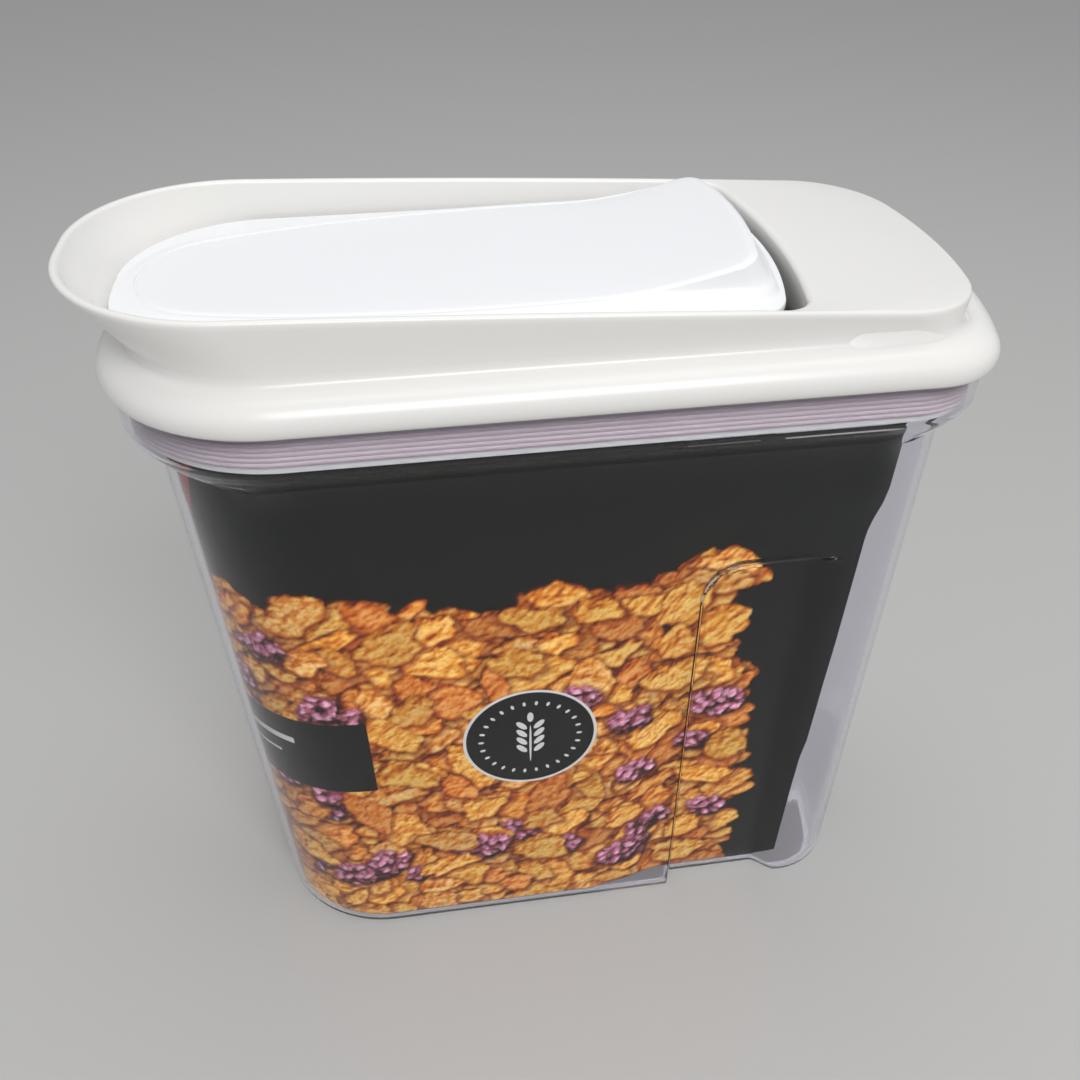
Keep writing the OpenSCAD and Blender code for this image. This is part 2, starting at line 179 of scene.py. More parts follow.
def siliconeRubber(name, colour, roughness):
    # Moulded silicone: milky, lavender-grey, with a soft sheen, light bleeding through thin fins and
    # clouds of filler about 22 mm across
    material, tree, shader = newMaterial(name, {
        "Base Color": hexColour(colour), "Roughness": roughness, "IOR": 1.41,
        "Subsurface Weight": 0.35, "Subsurface Radius": (0.003, 0.0026, 0.0032),
        "Subsurface Scale": 0.8})
    point = objectPoint(tree)
    milk = addNode(tree, "ShaderNodeTexNoise", {"Scale": perMetre(22.22), "Detail": 3}, {"Vector": point})
    base = hexColour(colour)
    tint = addNode(tree, "ShaderNodeMix", {"data_type": "RGBA"}, {"Factor": milk.outputs["Fac"]})
    tint.inputs["A"].default_value = (base[0] * 0.9, base[1] * 0.9, base[2] * 0.93, 1)
    tint.inputs["B"].default_value = base
    tree.links.new(tint.outputs["Result"], shader.inputs["Base Color"])
    relief = addNode(tree, "ShaderNodeBump", {"Strength": 0.15, "Distance": 0.0002},
                     {"Height": milk.outputs["Fac"]})
    tree.links.new(relief.outputs["Normal"], shader.inputs["Normal"])
    return material


def cardPrint(name, dark, light):
    # Varnished paperboard in one flat ink, with a faint unevenness from its fibres, which are drawn
    # about 1.4 mm long so that they show
    material, tree, shader = newMaterial(name, {
        "Base Color": hexColour(light), "Roughness": 0.5, "IOR": 1.5, "Specular IOR Level": 0.1})
    point = objectPoint(tree)
    fibre = addNode(tree, "ShaderNodeTexNoise", {"Scale": perMetre(1.429), "Detail": 4}, {"Vector": point})
    tint = addNode(tree, "ShaderNodeMix", {"data_type": "RGBA", "A": hexColour(dark),
                   "B": hexColour(light)}, {"Factor": fibre.outputs["Fac"]})
    tree.links.new(tint.outputs["Result"], shader.inputs["Base Color"])
    relief = addNode(tree, "ShaderNodeBump", {"Strength": 0.1, "Distance": 0.0001},
                     {"Height": fibre.outputs["Fac"]})
    tree.links.new(relief.outputs["Normal"], shader.inputs["Normal"])
    return material


def printedInk():
    # Process-colour ink: the shades are in the piece's own colour attribute, broken up by the crumb
    # of a toasted flake, grains of about 1 mm and finer
    material, tree, shader = newMaterial("printedInk", {"Roughness": 0.5, "IOR": 1.5,
                                         "Specular IOR Level": 0.1})
    ink = addNode(tree, "ShaderNodeVertexColor", {"layer_name": "ink"})
    point = objectPoint(tree)
    crumb = addNode(tree, "ShaderNodeTexNoise", {"Scale": perMetre(1.111), "Detail": 5,
                    "Roughness": 0.65},
                    {"Vector": point})
    pores = addNode(tree, "ShaderNodeMapRange", {"From Min": 0.32, "From Max": 0.62,
                    "To Min": 0.8, "To Max": 1.1}, {"Value": crumb.outputs["Fac"]})
    shade = addNode(tree, "ShaderNodeVectorMath", {"operation": "SCALE"},
                    {"Vector": ink.outputs["Color"], "Scale": pores.outputs["Result"]})
    tree.links.new(shade.outputs["Vector"], shader.inputs["Base Color"])
    return material


def drawnSteel():
    # Bright drawn stainless rod with lengthwise draw lines about 0.4 mm apart and 8 mm long
    material, tree, shader = newMaterial("drawnSteel", {
        "Base Color": hexColour("B9BBBE"), "Metallic": 1.0, "Roughness": 0.25})
    point = objectPoint(tree)
    stretch = addNode(tree, "ShaderNodeMapping", {"Scale": (perMetre(0.37), perMetre(8.33), perMetre(0.37))},
                      {"Vector": point})
    lines = addNode(tree, "ShaderNodeTexNoise", {"Scale": 1, "Detail": 2},
                    {"Vector": stretch.outputs["Vector"]})
    gloss = addNode(tree, "ShaderNodeMapRange", {"To Min": 0.18, "To Max": 0.38},
                    {"Value": lines.outputs["Fac"]})
    tree.links.new(gloss.outputs["Result"], shader.inputs["Roughness"])
    return material


sanClear = clearSan()
sealSilicone = siliconeRubber("sealSilicone", "C2B6B9", 0.38)
flapSilicone = siliconeRubber("flapSilicone", "C4C2CA", 0.42)
# near-black with a trace of green, as the card's plain ground
cardInk = cardPrint("darkCard", "090D09", "10160F")
whiteInk = cardPrint("whiteInk", "D9D9D2", "E6E6DF")
redInk = cardPrint("redInk", "8A1410", "B0211A")
flakeInk = printedInk()
pinSteel = drawnSteel()
print("materials made")


# outlines, all in millimetres

plan = {"arcSteps": 20, "endSteps": 8}
lidSide = [i / 16 for i in range(1, 16)]
tubSide = [-50, -30, -10, 8, 22, 30, 33.2, 34, 34.6, 35.2, 35.8, 36.4, 37, 37.8, 38.8, 40, 41.2, 42.4,
           43.6, 45, 46.5, 48, 50, 53, 57, 62, 66, 68, 69.5, 71, 72.5, 74, 75.5, 77]


def outline(x0, x1, half, frontR, rearR, side, share=True, bow=0.0):
    # a rear corner's arc turns on until it meets the bowed rear end without a kink
    turn = 0.0
    for i in range(5):
        turn = math.atan(2 * bow * (half - rearR + rearR * math.sin(turn)))
    meet = half - rearR + rearR * math.sin(turn)
    rearX = x1 - rearR * math.cos(turn) - bow * meet ** 2
    frontX = x0 + frontR
    steps = [i / plan["arcSteps"] for i in range(plan["arcSteps"] + 1)]
    nearSide = [(x0, 0.0)]
    nearSide += [(frontX - frontR * math.cos(a), frontR - half - frontR * math.sin(a))
                 for a in (math.pi / 2 * t for t in steps)]
    nearSide += [(mix(frontX, rearX, s) if share else s, -half) for s in side]
    nearSide += [(rearX + rearR * math.sin(a), rearR - half - rearR * math.cos(a))
                 for a in ((math.pi / 2 - turn) * t for t in steps)]
    for i in range(1, plan["endSteps"] + 1):
        y = meet * (i / plan["endSteps"] - 1)
        nearSide.append((x1 - bow * y * y, y))
    return nearSide + [(x, -y) for x, y in nearSide[-2:0:-1]]


def atHeight(loop, z):
    return [(x, y, z) for x, y in loop]


# modelling: a circle is placed, then its edge is pulled up ring by ring


def startRing(name, ring):
    clearSelection()
    bpy.ops.mesh.primitive_circle_add(vertices=len(ring), radius=0.1)
    piece = bpy.context.object
    piece.name = piece.data.name = name
    bpy.ops.object.mode_set(mode="EDIT")
    mesh = bmesh.from_edit_mesh(piece.data)
    placeMark = mesh.verts.layers.int.new("place")
    ringMark = mesh.verts.layers.int.new("ring")
    for i, (vertex, point) in enumerate(zip(mesh.verts, ring)):
        vertex.co = Vector(point) * mm
        vertex[placeMark] = i
        vertex[ringMark] = 0
    bmesh.update_edit_mesh(piece.data)
    bpy.ops.mesh.select_all(action="SELECT")
    return piece


def pullRing(piece, number, target):
    # each new vertex keeps its old one's number around the ring, which says where it goes
    bpy.ops.mesh.extrude_region_move()
    mesh = bmesh.from_edit_mesh(piece.data)
    placeMark, ringMark = mesh.verts.layers.int["place"], mesh.verts.layers.int["ring"]
    for vertex in mesh.verts:
        if vertex.select:
            vertex.co = Vector(target[vertex[placeMark]]) * mm
            vertex[ringMark] = number
    bmesh.update_edit_mesh(piece.data)


def selectRings(piece, *numbers):
    bpy.ops.mesh.select_all(action="DESELECT")
    mesh = bmesh.from_edit_mesh(piece.data)
    ringMark = mesh.verts.layers.int["ring"]
    for edge in mesh.edges:
        ends = {v[ringMark] for v in edge.verts}
        edge.select_set(len(ends) == 1 and ends.pop() in numbers)
    bmesh.update_edit_mesh(piece.data)


def bridgeAcross(piece, number, count):
    # closes a curved top with strips from the near side to the far side
    bpy.ops.mesh.select_all(action="DESELECT")
    mesh = bmesh.from_edit_mesh(piece.data)
    placeMark, ringMark = mesh.verts.layers.int["place"], mesh.verts.layers.int["ring"]
    for edge in mesh.edges:
        if all(v[ringMark] == number for v in edge.verts):
            places = [v[placeMark] for v in edge.verts]
            edge.select_set(0 not in places and count // 2 not in places)
    bmesh.update_edit_mesh(piece.data)
    bpy.ops.mesh.bridge_edge_loops()
    bpy.ops.mesh.select_all(action="SELECT")
    bpy.ops.mesh.fill_holes(sides=4)


def raiseWall(name, rings, close):
    # close is "ring" to join the last ring to the first, "caps" to fill both ends, or "across" to
    # fill the first end and close the last with strips
    piece = startRing(name, rings[0])
    for number, target in enumerate(rings[1:], 1):
        pullRing(piece, number, target)
    last = len(rings) - 1
    if close == "ring":
        selectRings(piece, 0, last)
        bpy.ops.mesh.bridge_edge_loops()
    else:
        for number in (0, last) if close == "caps" else (0,):
            selectRings(piece, number)
            bpy.ops.mesh.edge_face_add()
    if close == "across":
        bridgeAcross(piece, last, len(rings[0]))
    bpy.ops.mesh.select_all(action="SELECT")
    bpy.ops.mesh.normals_make_consistent(inside=False)
    bpy.ops.object.mode_set(mode="OBJECT")
    return piece


def finishPiece(piece, body, slot, materials, *nodes, angle=35):
    clearSelection()
    piece.select_set(True)
    bpy.context.view_layer.objects.active = piece
    if angle:
        bpy.ops.object.shade_smooth_by_angle(angle=math.radians(angle))
    for material in materials:
        piece.data.materials.append(material)
    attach(piece, body)
    if nodes:
        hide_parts(*nodes)
    return piece


# the clear tub

tub = {
    "baseFront": -100.5, "baseRear": 102.4, "baseWidth": 86, "baseCorner": 38, "baseRearCorner": 21.5,
    "neckFront": -110.7, "neckRear": 106.1, "neckWidth": 91.5, "neckCorner": 42, "neckHeight": 189.5,
    "mouthFront": -117.5, "mouthRear": 113.2, "mouthWidth": 101, "mouthCorner": 44,
    "mouthHeight": 212, "rearCorner": 24, "rearBow": 0.0046,
    "wall": 2.2, "footRadius": 5, "floor": 2.2,
    "gripDepth": 5.5, "gripX": 35, "gripEnd": 68, "gripTop": 152, "gripCorner": 14, "gripEdge": 3.0,
    "gripFade": 9,
    "levels": [9, 20, 40, 70, 100, 125, 134, 137, 139, 141, 143, 145, 146.5, 148, 149.2, 150, 150.6,
               151.2, 151.8, 152.4, 154, 165, 180],
    # inset and height: the flare above the neck, outside and inside, the lip, whose heights count
    # down from the mouth's edge, and the heel above the floor
    "flare": [(3.9, 3.6), (1.7, 6.6), (0.7, 7.9), (0.2, 8.7), (0, 9.6), (0, 10.4)],
    "throat": [(0, 9.4), (0, 8.6), (1.2, 6.6), (3.6, 2.8)],
    "lip": [(0, 1.6), (0, 0.8), (0.25, 0.2), (0.8, 0)],
    "heel": [(0, 1.6), (0.2, 0.9), (0.8, 0.3), (1.8, 0)],
}


def gripDistance(x, z):
    dx, dz = tub["gripX"] + tub["gripCorner"] - x, z - tub["gripTop"] + tub["gripCorner"]
    return (math.hypot(dx, dz) if dx > 0 and dz > 0 else max(dx, dz)) - tub["gripCorner"]


def tubRing(z, inset, spread=0.0):
    t = clamp(z / tub["neckHeight"])
    front, rear = mix(tub["baseFront"], tub["neckFront"], t), mix(tub["baseRear"], tub["neckRear"], t)
    half = mix(tub["baseWidth"], tub["neckWidth"], t) / 2 - inset
    ring = []
    for x, y in outline(front + inset, rear - inset, half,
                        mix(tub["baseCorner"], tub["neckCorner"], t) - inset,
                        mix(tub["baseRearCorner"], tub["rearCorner"], t) - inset,
                        tubSide, share=False, bow=tub["rearBow"]):
        into = gripDistance(x, z)
        depth = smooth(-into / tub["gripEdge"]) * (1 - smooth((x - tub["gripEnd"]) / tub["gripFade"]))
        if spread:
            depth = 1 - smooth(into / spread)
        limit = half - tub["gripDepth"] * depth
        ring.append((x, clamp(y, -limit, limit), z))
    return ring


def mouthLoop(inset, side, share):
    return outline(tub["mouthFront"] + inset, tub["mouthRear"] - inset, tub["mouthWidth"] / 2 - inset,
                   tub["mouthCorner"] - inset, tub["rearCorner"] - inset, side, share=share,
                   bow=tub["rearBow"])


def mouthRing(inset, z):
    return atHeight(mouthLoop(inset, tubSide, False), z)


def makeTub():
    top, wall, floor, neck = tub["mouthHeight"], tub["wall"], tub["floor"], tub["neckHeight"]
    rings = []
    for i in range(9):
        a = math.radians(90 * i / 8)
        inset, z = tub["footRadius"] * (1 - math.sin(a)), tub["footRadius"] * (1 - math.cos(a))
        rings.append(tubRing(z, inset))
    rings += [tubRing(z, 0) for z in tub["levels"] + [neck]]
    rings += [mouthRing(inset, neck + rise) for inset, rise in tub["flare"]]
    rings += [mouthRing(inset, top - drop) for inset, drop in tub["lip"]]
    rings += [mouthRing(wall - inset, top - drop) for inset, drop in tub["lip"][::-1]]
    rings += [mouthRing(wall + inset, neck + rise) for inset, rise in tub["throat"]]
    rings += [tubRing(z, wall) for z in [neck - 0.6] + tub["levels"][::-1]]
    rings += [tubRing(floor + rise, wall + inset) for inset, rise in tub["heel"]]
    return raiseWall("clearTub", rings, "caps")


clearTub = finishPiece(makeTub(), "tub", "clear_tub", [sanClear], "container_body")
# clear plastic lets the lamps shine through on the card behind it
clearTub.visible_shadow = False
print("clear tub made")


# the card: a sleeve that is open at the rear

card = {"gap": 0.5, "thick": 0.5, "low": 4.4, "top": 194.5, "middle": 90, "spread": 26, "rear": 79.3,
        "lean": 2, "rearSteps": 6}


def cardHalf(z, inset):
    ring = tubRing(z, inset, card["spread"])
    return [point[:2] for point in ring[:len(ring) // 2 + 1]]


def cardRing(z):
    # around the outer face from rear edge to rear edge, then back along the inner face
    end = card["rear"] + z * math.tan(math.radians(card["lean"]))
    start = plan["arcSteps"] + 2 + len(tubSide)
    faces = []
    for inset in (0, card["thick"]):
        half = cardHalf(z, tub["wall"] + card["gap"] + inset)
        xs, ys = zip(*half[start - 1:])
        for i in range(1, card["rearSteps"] + 1):
            x = mix(xs[0], end, i / card["rearSteps"])
            half[start + i - 1:] = [(x, float(np.interp(x, xs, ys)))]
        faces.append(half[:0:-1] + [(x, -y) for x, y in half])
    near, far = faces
    return atHeight(near + far[::-1], z)


def makeCard():
    levels = [card["low"], 30, 60, 90, 118, 130, 140, 146, 152, 156, 160, 164, 168, 174, 182,
              card["top"]]
    return raiseWall("cerealCard", [cardRing(z) for z in levels], "caps")


finishPiece(makeCard(), "tub", "printed_card", [cardInk], "insert_card")
print("card made")


# the print on the card: it is drawn flat, X along the card from its front fold and Y up, then
# laid on the card

def cardLengths():
    half = cardHalf(card["middle"], tub["wall"] + card["gap"])
    steps = [math.dist(a, b) for a, b in zip(half, half[1:])]
    return np.concatenate([[0], np.cumsum(steps)])


def layOnCard(piece):
    lengths = cardLengths()
    halves = {}
    for vertex in piece.data.vertices:
        along, z, lift = (round(c / mm, 2) for c in vertex.co)
        key = (z, lift)
        if key not in halves:
            halves[key] = cardHalf(z, tub["wall"] + card["gap"] - lift)
        i = int(np.searchsorted(lengths, abs(along), "right")) - 1
        f = (abs(along) - lengths[i]) / (lengths[i + 1] - lengths[i])
        a, b = halves[key][i], halves[key][i + 1]
        y = mix(a[1], b[1], f)
        vertex.co = Vector((mix(a[0], b[0], f), y if along >= 0 else -y, z)) * mm


flakePrint = {
    "spacing": 0.65, "sharp": 2, "left": -200, "right": 200, "low": 5, "high": 162, "split": -30,
    "flakes": 1500, "topFlakes": 42, "clusters": 84, "seed": 11, "lift": 0.2,
    "pileHigh": 141, "reach": 187, "taper": 0.06, "shade": (0.68, 0.9, 0.93),
    "toast": [(0, "380F03"), (0.25, "983A0C"), (0.5, "CE701C"), (0.8, "EC9E36"), (1.15, "FFD27C")],
    "berry": [(0, "5E1430"), (0.3, "B2486C"), (0.6, "D87898"), (0.9, "ECA6C0"), (1.25, "FAD8E6")],
    "tints": [(1.0, 0.95, 0.8), (0.96, 0.78, 0.6), (1.04, 1.06, 0.9), (1.0, 1.0, 1.1),
              (1.02, 1.0, 0.75), (0.84, 0.6, 0.5), (1.06, 1.1, 1.0)],
}
lattice = np.random.default_rng(flakePrint["seed"]).random((256, 256))


def cloud(u, v):
    iu, iv = np.floor(u).astype(int), np.floor(v).astype(int)
    fu, fv = u - iu, v - iv
    fu, fv = fu * fu * (3 - 2 * fu), fv * fv * (3 - 2 * fv)
    a, b = lattice[iu % 256, iv % 256], lattice[(iu + 1) % 256, iv % 256]
    c, d = lattice[iu % 256, (iv + 1) % 256], lattice[(iu + 1) % 256, (iv + 1) % 256]
    return (a + (b - a) * fu) * (1 - fv) + (c + (d - c) * fu) * fv


def inkRamp(stops, light):
    shades = np.array([hexColour(shade)[:3] for _, shade in stops])
    places = [place for place, _ in stops]
    return np.stack([np.interp(light, places, shades[:, k]) for k in range(3)], -1)


def paintFlake(sheet, place, size, turn, stops, tint, rough, chance):
    # one flake: a wavy outline, a puffed and wrinkled surface lit from the upper left, and the
    # shade that it casts on what lies under it
    colour, cover, step = sheet
    (cx, cy), (a, b) = place, size
    reach = max(a, b) * 1.5 + 2
    i0, i1 = max(int((cx - reach) / step), 0), min(int((cx + reach) / step) + 1, colour.shape[1])
    j0, j1 = max(int((cy - reach) / step), 0), min(int((cy + reach) / step) + 1, colour.shape[0])
    if i1 - i0 < 3 or j1 - j0 < 3:
        return
    x, y = np.meshgrid(np.arange(i0, i1) * step - cx, np.arange(j0, j1) * step - cy)
    cos, sin = math.cos(turn), math.sin(turn)
    waves = [(k, chance.uniform(0.02, 0.33 / k ** 0.9), chance.uniform(0, 6.3))
             for k in (2, 3, 4, 5, 7, 11)]
    ou, ov, bend = chance.uniform(0, 200), chance.uniform(0, 200), chance.uniform(-0.5, 0.9)

    def edge(px, py):
        u, v = (px * cos + py * sin) / a, (py * cos - px * sin) / b
        v = v + bend * 0.35 * (u * u - 0.4)
        angle = np.arctan2(v, u)
        return np.hypot(u, v) / (1 + sum(w * np.cos(k * angle + f) for k, w, f in waves)), v

    near, _ = edge(x - 0.4, y + 0.9)
    shade = np.clip((1 + 1.7 / b - near) / (2.2 / b), 0, 1)[..., None]
    colour[j0:j1, i0:i1] *= 1 - shade * flakePrint["shade"]
    far, v = edge(x, y)
    inside = far < 1
    lumps = cloud(x / rough + ou, y / rough + ov)
    fine = cloud(x / (rough * 0.42) + ov, y / (rough * 0.42) + ou)
    folds = cloud((x * cos + y * sin) / (rough * 3.0) + ou, (y * cos - x * sin) / (rough * 1.2) + ov)
    puff = np.sqrt(np.clip(1 - far ** 3, 0, 1))
    gy, gx = np.gradient(rough * (0.85 * lumps + 0.5 * fine + 0.6 * folds + 1.1 * puff), step)
    light = (0.92 + 0.38 * gy - 0.26 * gx) / np.sqrt(1 + 0.25 * (gx * gx + gy * gy))
    light *= (0.78 + 0.46 * lumps) * (1 - 0.6 * np.clip((far - 0.84) / 0.16, 0, 1) * (v < 0.1))
    colour[j0:j1, i0:i1][inside] = (inkRamp(stops, light) * tint)[inside]
    cover[j0:j1, i0:i1] |= inside


def paintSheet():
    chance = random.Random(flakePrint["seed"])
    sharp, left, right = flakePrint["sharp"], flakePrint["left"], flakePrint["right"]
    step = flakePrint["spacing"] / sharp
    columns = int((right - left) / flakePrint["spacing"]) + 1
    rows = int((flakePrint["high"] - flakePrint["low"]) / flakePrint["spacing"]) + 1
    colour = np.zeros((rows * sharp, columns * sharp, 3)) + hexColour("4A1C0C")[:3]
    across, up = np.arange(columns * sharp) * step + left, np.arange(rows * sharp)[:, None] * step
    cover = (up < flakePrint["pileHigh"] - 13) & (abs(across) < flakePrint["reach"] - 11
                                                  - flakePrint["taper"] * up)
    sheet = (colour, cover, step)

    def pile(s):
        return flakePrint["pileHigh"] + 3.5 * math.sin(s / 23) + 2 * math.sin(s / 9 + 1)

    def onSheet(s, z):
        return abs(s) < flakePrint["reach"] - flakePrint["taper"] * z

    jobs = []
    for i in range(flakePrint["flakes"]):
        # even steps over the sheet, each a little off its place, leave no bare spots
        s, a = left + (right - left) * (i * 0.75488 % 1) + chance.uniform(-5, 5), chance.uniform(6, 11)
        z = (pile(s) + 1) * (i * 0.56984 % 1) - 3 + chance.uniform(-4, 4) * (i % 7 > 0)
        z = min(z, pile(s) - 2)
        b, turn = a * chance.uniform(0.45, 0.8), chance.gauss(0, 0.5)
        if onSheet(s, z):
            jobs.append((i / flakePrint["flakes"], s, z, a, b, turn, False))
    # a row of flakes along the top keeps the heap's edge closed
    for i in range(flakePrint["topFlakes"]):
        s = mix(left, right, i / flakePrint["topFlakes"]) + chance.uniform(-2, 2)
        a, z = chance.uniform(7, 11), pile(s) - chance.uniform(1, 6)
        if onSheet(s, z):
            jobs.append((chance.uniform(0.2, 0.9), s, z, a, a * chance.uniform(0.5, 0.75),
                         chance.gauss(0, 0.5), False))
    for i in range(flakePrint["clusters"]):
        s = chance.uniform(left + 22, right - 22)
        jobs.append((chance.uniform(0.8, 1.15), s, chance.uniform(4, pile(s) - 8),
                     chance.uniform(3.5, 7.2), 1, 0, True))
    for _, s, z, a, b, turn, berry in sorted(jobs):
        if not berry:
            glow = chance.uniform(0.8, 1.15)
            tint = tuple(c * glow for c in chance.choice(flakePrint["tints"]))
            paintFlake(sheet, (s - left, z), (a, b), turn, flakePrint["toast"], tint,
                       chance.uniform(1.5, 3.0), chance)
            continue
        for k in range(int(a * 8)):
            r, w, glow = a * math.sqrt(chance.random()), chance.uniform(0, 6.3), chance.uniform(0.8, 1.25)
            place = (s - left + 1.2 * r * math.cos(w), z + 0.85 * r * math.sin(w))
            paintFlake(sheet, place, (chance.uniform(1.2, 2.3), chance.uniform(0.9, 1.5)),
                       chance.uniform(0, 3), flakePrint["berry"], (glow, glow, glow), 0.8, chance)
    shape = (rows, sharp, columns, sharp)
    return colour.reshape(*shape, 3).mean((1, 3)), cover.reshape(shape).mean((1, 3)) > 0.4


def makeFlakes(name, colour, cover, first, last, stride):
    colour, cover = colour[::stride, first:last + 1:stride], cover[::stride, first:last + 1:stride]
    rows, columns = cover.shape
    clearSelection()
    bpy.ops.mesh.primitive_grid_add(x_subdivisions=columns - 1, y_subdivisions=rows - 1, size=1)
    piece = bpy.context.object
    piece.name = piece.data.name = name
    pace = flakePrint["spacing"]
    across = flakePrint["left"] + pace * (first + stride * np.arange(columns))
    up = flakePrint["low"] + pace * stride * np.arange(rows)
    place = np.zeros((rows, columns, 3))
    place[..., 0], place[..., 1], place[..., 2] = across, up[:, None], flakePrint["lift"]
    piece.data.vertices.foreach_set("co", (place * mm).ravel())
    ink = piece.data.color_attributes.new("ink", "FLOAT_COLOR", "POINT")
    ink.data.foreach_set("color", np.dstack([colour, np.ones((rows, columns))]).ravel())
    kept = cover[:-1, :-1] | cover[1:, :-1] | cover[:-1, 1:] | cover[1:, 1:]
    bpy.ops.object.mode_set(mode="EDIT")
    bpy.ops.mesh.select_mode(type="FACE")
    bpy.ops.mesh.select_all(action="DESELECT")
    bpy.ops.object.mode_set(mode="OBJECT")
    piece.data.polygons.foreach_set("select", ~kept.ravel())
    bpy.ops.object.mode_set(mode="EDIT")
    bpy.ops.mesh.delete(type="FACE")
    bpy.ops.mesh.select_mode(type="VERT")
    bpy.ops.object.mode_set(mode="OBJECT")
    layOnCard(piece)
    return piece


sheetColour, sheetCover = paintSheet()
print("print painted")
splitColumn = int((flakePrint["split"] - flakePrint["left"]) / flakePrint["spacing"] / 2) * 2
finishPiece(makeFlakes("flakePrint", sheetColour, sheetCover, splitColumn, sheetCover.shape[1] - 1, 1),
            "tub", "printed_card", [flakeInk], angle=60)
finishPiece(makeFlakes("flakePrintFar", sheetColour, sheetCover, 0, splitColumn, 2),
            "tub", "printed_card", [flakeInk], angle=60)
print("print laid on the card")

# plain marks on the card: a round badge, a banner around the front fold and a corner tag

label = {
    "badgePlace": (114, 89.6), "badgeRadius": 21, "ring": 0.95, "dots": 26, "dotCircle": 15.4,
    "bannerLow": 73, "bannerHigh": 104, "bannerStart": -28, "bannerEnd": 65, "lift": 0.32,
    "inkLift": 0.06, "kernels": 4, "kernelStep": 3.5, "kernelSize": (2.3, 1.0),
    "rules": [(24, 42, 94, 2.4), (24, 36, 87, 1.1)],
    "tag": [(16, 176), (27, 176), (31, 193), (20, 193)],
}


def addOval(cx, cy, rx, ry, turn=0.0):
    # a small white oval, added to the mark being edited, a hair above it
    bpy.ops.mesh.primitive_circle_add(vertices=16, radius=1, fill_type="NGON")
    mesh = bmesh.from_edit_mesh(bpy.context.object.data)
    cos, sin, lift = math.cos(turn), math.sin(turn), label["lift"] + label["inkLift"]
    for vertex in (v for v in mesh.verts if v.select):
        x, y = vertex.co.x * rx, vertex.co.y * ry
        vertex.co = Vector((cx + x * cos - y * sin, cy + x * sin + y * cos, lift)) * mm
    for face in (f for f in mesh.faces if f.select):
        face.material_index = 1
    bmesh.update_edit_mesh(bpy.context.object.data)


def makeBadge():
    (cx, cy), radius = label["badgePlace"], label["badgeRadius"]
    turns = [2 * math.pi * i / 96 for i in range(96)]
    outer, inner = ([(cx + r * math.cos(t), cy + r * math.sin(t), label["lift"]) for t in turns]
                    for r in (radius, radius - label["ring"]))
    piece = startRing("badge", outer)
    pullRing(piece, 1, inner)
    selectRings(piece, 1)
    bpy.ops.mesh.edge_face_add()
    mesh = bmesh.from_edit_mesh(piece.data)
    for face in mesh.faces:
        face.material_index = int(len(face.verts) == 4)
    bmesh.update_edit_mesh(piece.data)
    for i in range(label["dots"]):
        t = 2 * math.pi * i / label["dots"]
        addOval(cx + label["dotCircle"] * math.cos(t), cy + label["dotCircle"] * math.sin(t), 0.9, 0.5, t)
    # an ear of grain: pairs of kernels up a stalk
    for level in range(label["kernels"]):
        for side in (-1, 1):
            addOval(cx + side * 2.7, cy - 4.6 + level * label["kernelStep"], *label["kernelSize"],
                    side * 0.85)
    addOval(cx, cy + 9.4, 1.0, 2.1)
    addOval(cx, cy - 2.6, 0.35, 8.4)
    bpy.ops.object.mode_set(mode="OBJECT")
    layOnCard(piece)
    return piece


def makeStrip(name, left, right, low, high, lift, columns):
    clearSelection()
    bpy.ops.mesh.primitive_grid_add(x_subdivisions=columns, y_subdivisions=2, size=1)
    piece = bpy.context.object
    piece.name = piece.data.name = name
    for vertex in piece.data.vertices:
        x, y = vertex.co.x + 0.5, vertex.co.y + 0.5
        vertex.co = Vector((mix(left, right, x), mix(low, high, y), lift)) * mm
    layOnCard(piece)
    return piece


def makeTag():
    piece = startRing("cornerTag", [(x, y, label["lift"]) for x, y in label["tag"]])
    bpy.ops.mesh.edge_face_add()
    bpy.ops.mesh.subdivide(number_cuts=6)
    bpy.ops.object.mode_set(mode="OBJECT")
    layOnCard(piece)
    return piece


finishPiece(makeBadge(), "tub", "printed_card", [cardInk, whiteInk])
finishPiece(makeStrip("banner", label["bannerStart"], label["bannerEnd"], label["bannerLow"],
                      label["bannerHigh"], label["lift"], 62), "tub", "printed_card", [cardInk])
for i, (left, right, middle, height) in enumerate(label["rules"]):
    finishPiece(makeStrip("bannerRule%d" % i, left, right, middle - height / 2, middle + height / 2,
                          label["lift"] + label["inkLift"], 14), "tub", "printed_card", [whiteInk])
finishPiece(makeTag(), "tub", "printed_card", [redInk])
print("marks made")


# the lid shell

